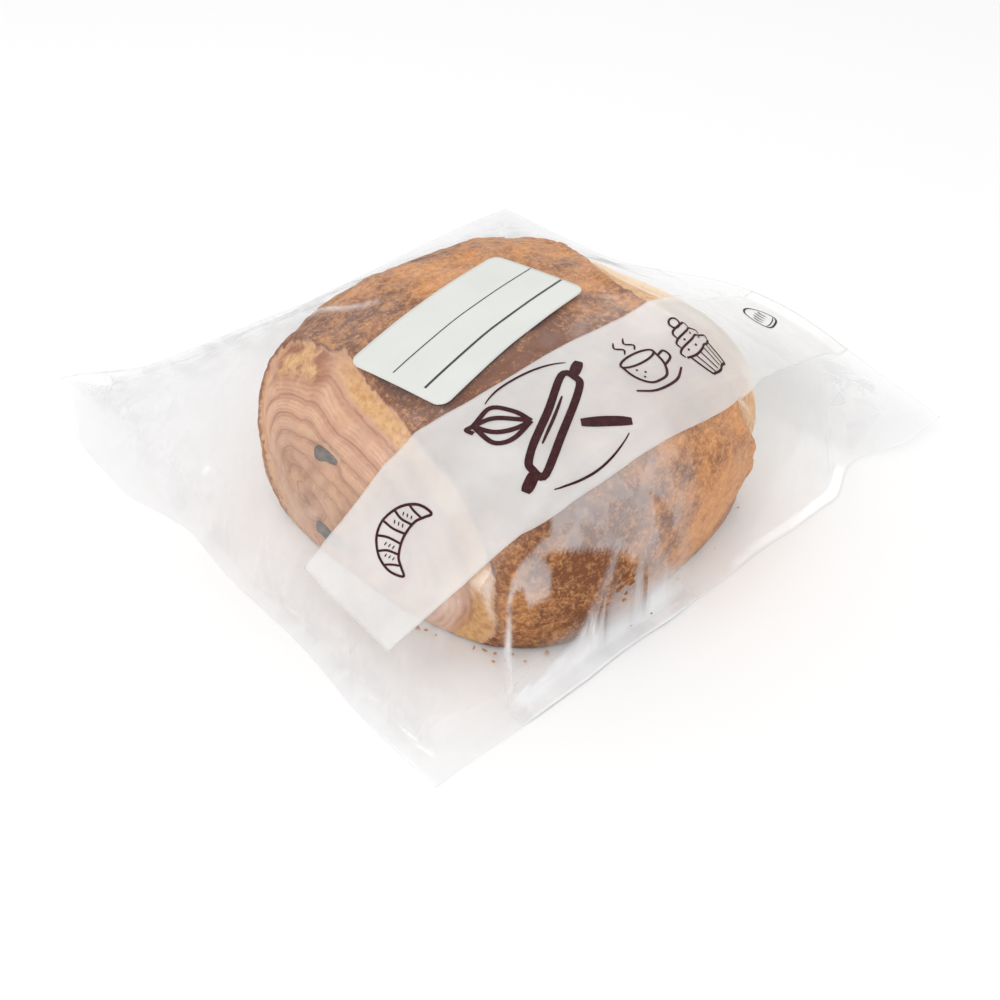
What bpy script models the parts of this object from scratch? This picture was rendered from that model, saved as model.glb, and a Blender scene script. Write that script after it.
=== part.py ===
"""A pain au chocolat in its clear film bag, with the printed band and the label stuck on top.

The bag is one closed solid of the pouch's outer form: a flat foot under the pastry, a film
stretched over the pastry's dome, and a thin sealed margin all round that curls up off the
table. Lengths are in metres and +Z is up. +X runs along the pastry's roll and the band, from
one heat seal to the other, and +Y runs from the front fold to the back fold.
"""

import math

import bmesh
import bpy
import numpy as np
from mathutils import Vector

BAG_LENGTH = 0.1905
BAG_WIDTH = 0.1875
MARGIN_WIDTH = 0.0055
MARGIN_THICKNESS = 0.0012

COLUMNS = 36
FRONT_ROWS = 5
BAND_ROWS = 7
BACK_ROWS = 24
ROWS = FRONT_ROWS + BAND_ROWS + BACK_ROWS
TABLE_ROWS = 2

PASTRY_CENTRE = (-0.0139, -0.0303)
PASTRY_TURN = math.radians(6.36)
PASTRY_HALF_LENGTH = 0.0558
PASTRY_HALF_WIDTH = 0.0570
PASTRY_HEIGHT = 0.0548
PASTRY_SHOULDER = 0.335
PASTRY_PLAN_POWER = 3.08
PASTRY_DOME_POWER = 2.7

FILM_CLEARANCE = 0.0010
FILM_PUFF = 0.00001
FILM_ROUNDS = 600

SEAL_LIFT = 0.0140
SEAL_LIFT_AT = -0.0310
SEAL_LIFT_REACH = 0.0800
BACK_EAR_LIFT = 0.0090
FRONT_EAR_LIFT = 0.0015
CURL_REACH = 0.0350

BAND_FIRST_COLUMN = 2
BAND_FRONT = -0.0632
BAND_BACK = -0.0300
BAND_FLARE = 0.0060
BAND_FRONT_BOW = 0.0180
BAND_BACK_BOW = 0.0220
LABEL_CENTRE = (-0.0257, -0.0297)
LABEL_LENGTH = 0.0530
LABEL_WIDTH = 0.0284
LABEL_CORNER = 0.0030
LABEL_TURN = math.radians(10.3)
STRIP_THICKNESS = 0.0005
STRIP_GAP = 0.0006

COLLECTION = "pain_au_chocolat"


def ramp(value, low, high):
    """Rises smoothly from 0 at low to 1 at high."""
    t = np.clip((value - low) / (high - low), 0.0, 1.0)
    return t * t * (3.0 - 2.0 * t)


def hump(value, centre, reach):
    """A smooth hump of height 1 at centre that ends a reach away on both sides."""
    t = np.clip((value - centre) / reach, -1.0, 1.0)
    return 0.5 + 0.5 * np.cos(math.pi * t)


def band_edges(x):
    """Front and back edge of the band, which bow forward over the pastry's front shoulder."""
    rise = 1 - (1 - np.clip((x + 0.0835) / 0.0585, 0.0, 1.0)) ** 2.5
    bow = rise * (1 - ramp(x, -0.002, 0.092))
    flare = BAND_FLARE * ramp(x, 0.020, 0.080)
    return BAND_FRONT + 0.4 * flare - BAND_FRONT_BOW * bow, BAND_BACK + flare - BAND_BACK_BOW * bow


def row_stations(x, front, back):
    """The y of each grid row on one column: rows follow the band's edges where the band lies."""
    band_front, band_back = band_edges(x)
    before = np.linspace(front + MARGIN_WIDTH, band_front, FRONT_ROWS)
    along = np.linspace(band_front, band_back, BAND_ROWS + 1)[1:]
    behind = np.linspace(band_back, back - MARGIN_WIDTH, BACK_ROWS)[1:]
    return np.concatenate(([front], before, along, behind, [back]))


def side_edge(y):
    """The left and right heat seal's x: the left one steps out towards its back ear."""
    half = BAG_LENGTH / 2
    ripple = 0.0006 * np.sin(y / 0.009)
    left = -half + 0.0055 * (1 - ramp(y, 0.004, 0.036)) + 0.0065 * ramp(y, 0.060, 0.088) + ripple
    right = half - 0.0012 * ramp(y, 0.040, 0.080)
    return np.maximum(left, -half), right


def fold_edge(x):
    """The front and back fold's y: a tuck near the right front corner, a pulled-in back left."""
    half = BAG_WIDTH / 2
    front = -half + 0.0055 * hump(x, 0.062, 0.020) + 0.0005 * np.sin(x / 0.008)
    back = half - 0.0100 * (1 - ramp(x, -0.020, 0.085))
    return np.maximum(front, -half), back


def bag_plan():
    """Plan places of the grid points, by column and row, inside the bag's outline."""
    margin = MARGIN_WIDTH / BAG_LENGTH
    stations = np.concatenate(([0.0], np.linspace(margin, 1.0 - margin, COLUMNS - 1), [1.0]))
    x = np.zeros((COLUMNS + 1, ROWS + 1))
    y = np.zeros_like(x)
    for column, station in enumerate(stations):
        nominal = BAG_LENGTH * (station - 0.5)
        y[column] = row_stations(nominal, *fold_edge(nominal))
        left, right = side_edge(y[column])
        x[column] = left + (right - left) * station
    return x, y


def seam_height(x, y):
    """How far the foot and the margin curl up off the table."""
    half_x = BAG_LENGTH / 2
    half_y = BAG_WIDTH / 2
    near_right = 1 - ramp(half_x - x, 0.0, CURL_REACH)
    seal = SEAL_LIFT * hump(y, SEAL_LIFT_AT, SEAL_LIFT_REACH) * near_right
    back_ear = BACK_EAR_LIFT * (1 - ramp(np.hypot(x + half_x, y - half_y), 0.004, CURL_REACH))
    front_ear = FRONT_EAR_LIFT * (1 - ramp(np.hypot(x - half_x, y + half_y), 0.004, CURL_REACH))
    return seal + back_ear + front_ear


def pastry_height(x, y):
    """Top of the pastry's rounded form under a point, or 0 beside it."""
    from_x = x - PASTRY_CENTRE[0]
    from_y = y - PASTRY_CENTRE[1]
    along = from_x * math.cos(PASTRY_TURN) + from_y * math.sin(PASTRY_TURN)
    across = from_y * math.cos(PASTRY_TURN) - from_x * math.sin(PASTRY_TURN)
    powers = np.abs(along / PASTRY_HALF_LENGTH) ** PASTRY_PLAN_POWER
    powers = powers + np.abs(across / PASTRY_HALF_WIDTH) ** PASTRY_PLAN_POWER
    reach = powers ** (1 / PASTRY_PLAN_POWER)
    dome = np.clip(1 - reach**PASTRY_DOME_POWER, 0.0, 1.0) ** (1 / PASTRY_DOME_POWER)
    height = PASTRY_HEIGHT * (PASTRY_SHOULDER + (1 - PASTRY_SHOULDER) * dome)
    return np.where(reach < 1.0, height, 0.0)


def film_height(x, y, seam):
    """The film's height: a stretched, slightly puffed skin held by the margin, over the pastry."""
    lowest = np.maximum(seam + MARGIN_THICKNESS, pastry_height(x, y) + FILM_CLEARANCE)
    held = np.ones_like(x, dtype=bool)
    held[TABLE_ROWS:-TABLE_ROWS, TABLE_ROWS:-TABLE_ROWS] = False
    film = np.where(held, seam + MARGIN_THICKNESS, lowest)
    for _ in range(FILM_ROUNDS):
        mean = film.copy()
        mean[1:-1, 1:-1] = (film[2:, 1:-1] + film[:-2, 1:-1] + film[1:-1, 2:] + film[1:-1, :-2]) / 4
        film = np.where(held, film, np.maximum(mean + FILM_PUFF, lowest))
    return film


def grid_mesh():
    """A flat grid whose points know their column and row."""
    bm = bmesh.new()
    column = bm.verts.layers.int.new("column")
    row = bm.verts.layers.int.new("row")
    bmesh.ops.create_grid(bm, x_segments=COLUMNS, y_segments=ROWS, size=1.0)
    for vert in bm.verts:
        vert[column] = round((vert.co.x + 1) / 2 * COLUMNS)
        vert[row] = round((vert.co.y + 1) / 2 * ROWS)
    return bm


def film_skin():
    """The film's upper skin alone, in triangles, as the pieces on it will copy it."""
    x, y = bag_plan()
    film = film_height(x, y, seam_height(x, y))
    bm = grid_mesh()
    column = bm.verts.layers.int["column"]
    row = bm.verts.layers.int["row"]
    for vert in bm.verts:
        at = vert[column], vert[row]
        vert.co = (x[at], y[at], film[at])
    bmesh.ops.triangulate(bm, faces=bm.faces[:])
    return bm


def thicken(bm, depth):
    """Closes a skin with side walls and a second skin below it, depth apart at each point."""
    result = bmesh.ops.extrude_face_region(bm, geom=bm.faces[:])
    lower = [item for item in result["geom"] if isinstance(item, bmesh.types.BMVert)]
    for vert in lower:
        vert.co.z -= depth(vert)
    bmesh.ops.recalc_face_normals(bm, faces=bm.faces[:])


def make_bag(skin):
    """The pouch: film above, foot below, and the margin thin between them."""
    bm = skin.copy()

    def down_to_foot(vert):
        return vert.co.z - float(seam_height(vert.co.x, vert.co.y))

    thicken(bm, down_to_foot)
    return bm


def make_band(skin):
    """The printed band: the film's own rows under it, lifted clear of the film."""
    bm = skin.copy()
    column = bm.verts.layers.int["column"]
    row = bm.verts.layers.int["row"]
    last_row = FRONT_ROWS + BAND_ROWS
    outside = [
        vert for vert in bm.verts
        if vert[column] < BAND_FIRST_COLUMN or not FRONT_ROWS <= vert[row] <= last_row
    ]
    bmesh.ops.delete(bm, geom=outside, context="VERTS")
    bmesh.ops.translate(bm, verts=bm.verts[:], vec=(0, 0, STRIP_GAP + STRIP_THICKNESS))
    thicken(bm, lambda vert: STRIP_THICKNESS)
    return bm


def label_cuts():
    """Point and outward direction of each plane that cuts the label's rounded rectangle."""
    cuts = []
    for turn in range(4):
        side = turn * math.pi / 2
        reach = (LABEL_LENGTH if turn % 2 == 0 else LABEL_WIDTH) / 2
        cuts.append((side, reach))
        for step in (1, 2):
            slant = side + step * math.pi / 6
            half_x = LABEL_LENGTH / 2 - LABEL_CORNER
            half_y = LABEL_WIDTH / 2 - LABEL_CORNER
            corner = abs(math.cos(slant)) * half_x + abs(math.sin(slant)) * half_y
            cuts.append((slant, corner + LABEL_CORNER))
    centre = Vector((*LABEL_CENTRE, 0))
    for angle, reach in cuts:
        outward = Vector((math.cos(angle + LABEL_TURN), math.sin(angle + LABEL_TURN), 0))
        yield centre + outward * reach, outward


def make_label(skin):
    """The label: the film's skin cut to a rounded rectangle and lifted clear of the film."""
    bm = skin.copy()
    for point, outward in label_cuts():
        geometry = bm.verts[:] + bm.edges[:] + bm.faces[:]
        bmesh.ops.bisect_plane(bm, geom=geometry, dist=1e-6, plane_co=point, plane_no=outward, clear_outer=True)
    bmesh.ops.remove_doubles(bm, verts=bm.verts[:], dist=0.0001)
    bmesh.ops.translate(bm, verts=bm.verts[:], vec=(0, 0, STRIP_GAP + STRIP_THICKNESS))
    thicken(bm, lambda vert: STRIP_THICKNESS)
    return bm


def principled(name, color, roughness):
    """A plain non-metal material."""
    material = bpy.data.materials.new(name)
    material.use_nodes = True
    shader = material.node_tree.nodes["Principled BSDF"]
    shader.inputs["Base Color"].default_value = (*color, 1.0)
    shader.inputs["Roughness"].default_value = roughness
    shader.inputs["Metallic"].default_value = 0.0
    return material


def add_object(name, bm, collection, material):
    """Turns a finished bmesh into a named object of its own."""
    mesh = bpy.data.meshes.new(name)
    bm.to_mesh(mesh)
    bm.free()
    mesh.materials.append(material)
    mesh.shade_smooth()
    mesh.set_sharp_from_angle(angle=math.radians(60))
    collection.objects.link(bpy.data.objects.new(name, mesh))


def main():
    for old in list(bpy.data.objects):
        bpy.data.objects.remove(old, do_unlink=True)
    collection = bpy.data.collections.new(COLLECTION)
    bpy.context.scene.collection.children.link(collection)
    skin = film_skin()
    add_object("bag", make_bag(skin), collection, principled("clear_film", (0.80, 0.79, 0.78), 0.35))
    add_object("band", make_band(skin), collection, principled("band_paper", (0.86, 0.85, 0.83), 0.55))
    add_object("label", make_label(skin), collection, principled("label_paper", (0.90, 0.90, 0.88), 0.50))
    skin.free()


if __name__ == "__main__":
    main()
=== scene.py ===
"""Pain au chocolat in a clear film bag: pastry, chocolate, film, printed band and label, for rendering."""

import math
import random

import bmesh
import bpy
import numpy as np
from mathutils import Matrix, Vector, noise
from mathutils.bvhtree import BVHTree
from mathutils.geometry import delaunay_2d_cdt


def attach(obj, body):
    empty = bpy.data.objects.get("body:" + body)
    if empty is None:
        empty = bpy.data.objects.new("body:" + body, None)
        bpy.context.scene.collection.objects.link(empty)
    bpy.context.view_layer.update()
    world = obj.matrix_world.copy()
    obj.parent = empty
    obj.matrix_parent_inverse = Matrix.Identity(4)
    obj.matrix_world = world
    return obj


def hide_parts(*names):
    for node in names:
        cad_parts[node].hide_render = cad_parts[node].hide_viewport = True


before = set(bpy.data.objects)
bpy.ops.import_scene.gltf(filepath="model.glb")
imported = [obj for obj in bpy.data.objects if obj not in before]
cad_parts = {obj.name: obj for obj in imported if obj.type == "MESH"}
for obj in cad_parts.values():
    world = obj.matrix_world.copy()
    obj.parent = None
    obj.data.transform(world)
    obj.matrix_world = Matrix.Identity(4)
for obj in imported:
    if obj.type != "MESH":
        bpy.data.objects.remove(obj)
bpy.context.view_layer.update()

bl_info = {
    "name": "Bagged Pain au Chocolat",
    "version": (1, 0, 0),
    "blender": (4, 5, 0),
    "location": "View3D > Sidebar > Pastry",
    "description": "Builds a pain au chocolat in its film bag with band and label, around the packed model",
    "category": "Add Mesh",
}

BODY = "root"

# The camera, read from the photograph's 1000 x 1000 frame

IMAGE_SIZE = 1000
FOCAL_PIXELS = 1042.7
SENSOR_MM = 36.0
CAMERA_PLACE = (-0.15866, -0.19268, 0.18195)
CAMERA_AZIMUTH = math.radians(-41.08)
CAMERA_ELEVATION = math.radians(41.036)

# The bag and the pastry in it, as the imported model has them

BAG_LENGTH = 0.1905
BAG_WIDTH = 0.1875
MARGIN_WIDTH = 0.0055
SEAL_LIFT = 0.0140
SEAL_LIFT_AT = -0.0310
SEAL_LIFT_REACH = 0.0800
BACK_EAR_LIFT = 0.0090
FRONT_EAR_LIFT = 0.0015
CURL_REACH = 0.0350
PASTRY_CENTRE = (-0.0139, -0.0303)
PASTRY_TURN = math.radians(6.36)
PLAN_POWER = 3.08
DOME_POWER = 2.7
SHOULDER = 0.335
BAND_START = -0.0800
BAND_FRONT = -0.0632
BAND_BACK = -0.0300
BAND_BOW_START = -0.0835
BAND_BOW_REACH = 0.0585
BAND_FLARE = 0.0060
BAND_FRONT_BOW = 0.0180
BAND_BACK_BOW = 0.0220
LABEL_CENTRE = (-0.0257, -0.0297)
LABEL_TURN = math.radians(10.3)
LABEL_HALF_LENGTH = 0.0265
LABEL_HALF_WIDTH = 0.0142

# Details of the roll, in metres and in its own frame: along the roll, across it, and up

PASTRY_BASE = 0.0008
SIDE_SHARE = 0.42
UNDERCUT = 0.04
ROLL_MIDDLE = 0.018
BAKED_TURN = 40.0
EDGE_REACH = 0.0009
ROUND_STEPS = 60
STICKS = (
    {"across": 0.0100, "up": 0.0326, "reach": 0.0520, "tilt": -0.12},
    {"across": 0.0103, "up": 0.0098, "reach": 0.0545, "tilt": 0.12},
)
STICK_WIDTH = 0.0100
STICK_DEPTH = 0.0042
STICK_ROUNDING = 0.0019
STICK_HOLLOW = 0.0013
CRUMBS = 34
LAYER_PINK = (0.540, 0.285, 0.180)
LAYER_CREAM = (0.930, 0.760, 0.550)
LAYER_LINE = (0.330, 0.130, 0.065)
LAYER_CORE = (0.300, 0.120, 0.060)
GOLDEN_DEEP = (0.520, 0.250, 0.085)
LAYER_BAKED = (0.300, 0.085, 0.020)
CHOCOLATE_BLOOM = (0.230, 0.190, 0.155)
# Where the crust darkens at the label's front side: partly more-baked crust, partly painted shade of the
# label
TOAST_AND_SHADE_PLACE = (-0.020, -0.014)

# Each end's crust edge, as its place along the roll at each angle round it, and where its layers centre

ROLL_ENDS = (
    {"side": "left", "seed": 2.0, "twist": 1.0, "centre": (-0.0550, 0.0170, 0.0180),
     "angles": (-90, 0, 18, 31, 44, 54, 58, 69, 79, 93, 105, 114, 162, 198, 270),
     "places": (0.0520, 0.0500, 0.0380, 0.0352, 0.0354, 0.0366, 0.0346, 0.0379, 0.0397, 0.0410, 0.0422,
                0.0436, 0.0482, 0.0479, 0.0520)},
    {"side": "right", "seed": 6.0, "twist": -1.0, "centre": (0.0550, 0.0040, 0.0180),
     "angles": (-90, 0, 60, 90, 99, 111, 120, 156, 162, 166, 173, 200, 270),
     "places": (0.0500, 0.0480, 0.0400, 0.0313, 0.0283, 0.0255, 0.0242, 0.0215, 0.0215, 0.0235, 0.0285,
                0.0400, 0.0500)},
)

# Softboxes that only show as gloss: name, place, size and power

GLOSS_LIGHTS = (
    ("gloss_back", (0.75, 0.35, 0.62), 0.30, 2.5),
    ("gloss_top", (-0.18, 0.10, 0.95), 0.34, 2.5),
    ("gloss_left", (-0.80, 0.25, 0.45), 0.30, 2.0),
)

# Clear patches of the film over the pastry's front: how clear, and outlines in places along and up

PANES = (
    (0.95, ((-0.0597, 0.0334), (-0.0558, 0.0365), (-0.0529, 0.0385), (-0.0498, 0.0399), (-0.0463, 0.0402),
            (-0.0462, 0.0384), (-0.0476, 0.0354), (-0.0502, 0.0348), (-0.0518, 0.0334), (-0.0550, 0.0320),
            (-0.0579, 0.0292), (-0.0598, 0.0254), (-0.0633, 0.0160), (-0.0650, 0.0160), (-0.0630, 0.0260))),
    (1.00, ((-0.0511, 0.0324), (-0.0468, 0.0325), (-0.0403, 0.0304), (-0.0337, 0.0278), (-0.0300, 0.0237),
            (-0.0228, 0.0133), (-0.0231, 0.0107), (-0.0320, 0.0110), (-0.0381, 0.0100), (-0.0454, 0.0080),
            (-0.0517, 0.0050), (-0.0575, 0.0030), (-0.0640, 0.0040), (-0.0603, 0.0233), (-0.0580, 0.0271),
            (-0.0563, 0.0267), (-0.0558, 0.0227), (-0.0510, 0.0231), (-0.0496, 0.0289))),
    (0.60, ((-0.0223, 0.0361), (-0.0191, 0.0332), (-0.0164, 0.0280), (-0.0136, 0.0196), (-0.0113, 0.0111),
            (-0.0144, 0.0099), (-0.0188, 0.0183), (-0.0215, 0.0286))),
    (0.35, ((-0.0069, 0.0405), (-0.0018, 0.0396), (0.0042, 0.0374), (0.0081, 0.0336), (0.0099, 0.0260),
            (0.0046, 0.0205), (-0.0008, 0.0223), (-0.0060, 0.0308), (-0.0079, 0.0366))),
    (1.00, ((-0.0640, 0.0060), (-0.0640, 0.0440), (-0.0900, 0.0440), (-0.0900, 0.0060))),
)

# Sharp creases of the film: places in the part's frame, half width and strength; the strength raises a ridge
# and adds veil, a painted highlight that whitens the crease and lets the gloss show on it

CREASES = (
    (0.0010, 0.55, ((-0.0458, 0.0077, 0.0470), (-0.0444, 0.0049, 0.0489), (-0.0424, -0.0012, 0.0511),
                    (-0.0394, -0.0054, 0.0527), (-0.0366, -0.0070, 0.0534))),
    (0.0022, 0.22, ((-0.0448, 0.0242, 0.0368), (-0.0465, 0.0127, 0.0439), (-0.0458, 0.0077, 0.0470))),
    (0.0004, 0.40, ((-0.0402, -0.0822, 0.0398), (-0.0373, -0.0856, 0.0340))),
    (0.0004, 0.35, ((-0.0556, -0.0788, 0.0359), (-0.0521, -0.0795, 0.0370))),
    (0.0006, 0.40, ((-0.0511, -0.0821, 0.0326), (-0.0527, -0.0824, 0.0310), (-0.0564, -0.0820, 0.0290),
                    (-0.0591, -0.0826, 0.0254), (-0.0620, -0.0838, 0.0180), (-0.0633, -0.0850, 0.0100))),
    (0.0012, 0.24, ((-0.0337, -0.0877, 0.0280), (-0.0382, -0.0882, 0.0154), (-0.0425, -0.0884, 0.0087))),
    (0.0007, 0.55, ((-0.0410, -0.0880, 0.0125), (-0.0396, -0.0886, 0.0070), (-0.0389, -0.0892, 0.0020))),
    (0.0006, 0.50, ((-0.0650, -0.0880, 0.0010), (-0.0562, -0.0888, 0.0030), (-0.0490, -0.0890, 0.0030),
                    (-0.0382, -0.0892, 0.0030), (-0.0253, -0.0898, 0.0012), (-0.0138, -0.0915, 0.0010))),
    (0.0005, 0.45, ((0.0125, -0.0794, 0.0420), (0.0160, -0.0813, 0.0371), (0.0186, -0.0830, 0.0315),
                    (0.0257, -0.0843, 0.0250), (0.0323, -0.0855, 0.0175))),
    (0.0008, 0.30, ((-0.0780, 0.0640, 0.0060), (-0.0645, 0.0540, 0.0126), (-0.0480, 0.0450, 0.0212),
                    (-0.0415, 0.0320, 0.0322))),
)

# How the sheets lie on each other

SEAL_GAP = 0.0004
FILM_BASE = 0.0002
FILM_CLEARANCE = 0.0003
FILM_TOP = 0.0560
FILM_ROUNDS = (900, 300, 120)
FILM_PUFF = 0.000002
CREASE_HEIGHT = 0.0010
FRONT_HAZE = 0.25
FRONT_STEPS = (0.0, 0.03, 0.27, 1.0)
FRONT_SHARES = (0.0, 0.0294, 0.088, 1.0)
BAND_CELLS = (190, 44)
BAND_END_AT = -0.0400
BAND_END_GAP = 0.0004
BAND_FADE = 0.0030
BAND_LIFT = 0.00028
BAND_THICKNESS = 0.00012
LABEL_CORNER = 0.0030
LABEL_BOW = 0.40
LABEL_FADE = 0.0040
LABEL_CELL = 0.0012
LABEL_SMOOTHING = 12
LABEL_LIFT = 0.00035
LABEL_THICKNESS = 0.00009
PRINT_LIFT = 0.00006
LINE_STEPS = 6

# Crumpled facets of the film: name, spacing, height, seed, and how much longer they are along the bag

FILM_FACETS = (
    ("coarse", 0.0210, 0.0010, 3, 1.3),
    ("medium", 0.0095, 0.00042, 5, 1.0),
    ("small", 0.0045, 0.00014, 8, 1.0),
)


def ramp(value, low, high):
    """Rises smoothly from 0 at low to 1 at high."""
    t = np.clip((value - low) / (high - low), 0.0, 1.0)
    return t * t * (3.0 - 2.0 * t)


def hump(value, centre, reach):
    """A smooth hump of height 1 at centre that ends a reach away on both sides."""
    t = np.clip((value - centre) / reach, -1.0, 1.0)
    return 0.5 + 0.5 * np.cos(math.pi * t)


def mix(low, high, share):
    """The value a share of the way from low to high."""
    return low + (high - low) * share


class PastrySettings(bpy.types.PropertyGroup):
    """Sizes and colours of the pastry and its chocolate."""

    half_length: bpy.props.FloatProperty(
        name="Half length", description="Half the pastry's length along its roll",
        default=0.0554, subtype="DISTANCE", unit="LENGTH")
    half_width: bpy.props.FloatProperty(
        name="Half width", description="Half the pastry's width across its roll",
        default=0.0566, subtype="DISTANCE", unit="LENGTH")
    height: bpy.props.FloatProperty(
        name="Height", description="Height of the pastry's dome",
        default=0.0546, subtype="DISTANCE", unit="LENGTH")
    cells: bpy.props.IntProperty(
        name="Cells", description="Cells along each edge of the pastry's mesh", default=104)
    layers: bpy.props.IntProperty(
        name="Layers", description="Rolled layers that show at each end", default=8)
    crust_dark: bpy.props.FloatVectorProperty(
        name="Dark crust", description="Colour of the most baked crust",
        subtype="COLOR", default=(0.170, 0.050, 0.013))
    crust_mid: bpy.props.FloatVectorProperty(
        name="Crust", description="Main colour of the crust",
        subtype="COLOR", default=(0.500, 0.185, 0.045))
    crust_light: bpy.props.FloatVectorProperty(
        name="Light crust", description="Colour of blisters and flakes",
        subtype="COLOR", default=(0.740, 0.375, 0.145))
    dough: bpy.props.FloatVectorProperty(
        name="Layer dough", description="Colour of the layers at the ends",
        subtype="COLOR", default=(0.665, 0.400, 0.252))
    golden: bpy.props.FloatVectorProperty(
        name="Golden edge", description="Colour of the crust's feathered edge",
        subtype="COLOR", default=(0.690, 0.400, 0.160))
    chocolate: bpy.props.FloatVectorProperty(
        name="Chocolate", description="Colour of the chocolate sticks",
        subtype="COLOR", default=(0.075, 0.058, 0.045))


class FilmSettings(bpy.types.PropertyGroup):
    """Looks of the clear film."""

    cells: bpy.props.IntProperty(
        name="Cells", description="Cells along each side of the film's mesh", default=216)
    color: bpy.props.FloatVectorProperty(
        name="Film colour", description="Colour of the film's haze", subtype="COLOR",
        default=(0.86, 0.86, 0.87))
    # Painted shade: a darker film colour for crumpled facets, in place of darker reflections that the white
    # surroundings don't give
    fold_shade_color: bpy.props.FloatVectorProperty(
        name="Fold colour", description="Colour of the haze where the film is crumpled and turned away",
        subtype="COLOR", default=(0.66, 0.66, 0.68))
    clear: bpy.props.FloatProperty(
        name="Haze on the pastry", description="How much the film veils what it touches",
        default=0.070, min=0.0, max=1.0)
    hazy: bpy.props.FloatProperty(
        name="Haze off the pastry", description="How much the film veils what lies a little behind it",
        default=0.17, min=0.0, max=1.0)
    slack: bpy.props.FloatProperty(
        name="Haze off the table", description="How much the slack film veils the table",
        default=0.19, min=0.0, max=1.0)


class PrintSettings(bpy.types.PropertyGroup):
    """Looks of the band and the label."""

    band_color: bpy.props.FloatVectorProperty(
        name="Band colour", description="Colour of the band's paper", subtype="COLOR",
        default=(0.935, 0.928, 0.920))
    ink: bpy.props.FloatVectorProperty(
        name="Ink", description="Colour of the band's line drawings", subtype="COLOR",
        default=(0.040, 0.010, 0.012))
    label_length: bpy.props.FloatProperty(
        name="Label length", description="Length of the label", default=0.0530,
        subtype="DISTANCE", unit="LENGTH")
    label_width: bpy.props.FloatProperty(
        name="Label width", description="Width of the label", default=0.0284,
        subtype="DISTANCE", unit="LENGTH")
    label_color: bpy.props.FloatVectorProperty(
        name="Label colour", description="Colour of the label's paper", subtype="COLOR",
        default=(0.665, 0.675, 0.645))
    rule_color: bpy.props.FloatVectorProperty(
        name="Rule colour", description="Colour of the label's ruled lines", subtype="COLOR",
        default=(0.012, 0.012, 0.014))


class StageSettings(bpy.types.PropertyGroup):
    """Floor and light."""

    floor_color: bpy.props.FloatVectorProperty(
        name="Floor colour", description="Colour of the plain floor", subtype="COLOR",
        default=(0.90, 0.90, 0.90))
    sky: bpy.props.FloatProperty(
        name="Sky strength", description="Strength of the even light from all round", default=0.98)
    key: bpy.props.FloatProperty(
        name="Key light", description="Power of each large soft light, in watts", default=1.2)


# Meshes and materials


def new_object(name, bm, material):
    """Makes a smooth-shaded object from a bmesh, riding on the part's one body."""
    mesh = bpy.data.meshes.new(name)
    bm.to_mesh(mesh)
    bm.free()
    mesh.shade_smooth()
    mesh.materials.append(material)
    piece = bpy.data.objects.new(name, mesh)
    bpy.context.scene.collection.objects.link(piece)
    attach(piece, BODY)
    return piece


def point_attribute(mesh, name, values):
    """Stores one number per point, for the material to read."""
    attribute = mesh.attributes.new(name, "FLOAT", "POINT")
    attribute.data.foreach_set("value", np.asarray(values, np.float32))


def places(mesh):
    """The points of a mesh as rows."""
    flat = np.empty(len(mesh.vertices) * 3, np.float32)
    mesh.vertices.foreach_get("co", flat)
    return flat.reshape(-1, 3)


def put_places(mesh, points):
    """Moves the points of a mesh to new places."""
    mesh.vertices.foreach_set("co", points.astype(np.float32).ravel())
    mesh.update()


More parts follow.
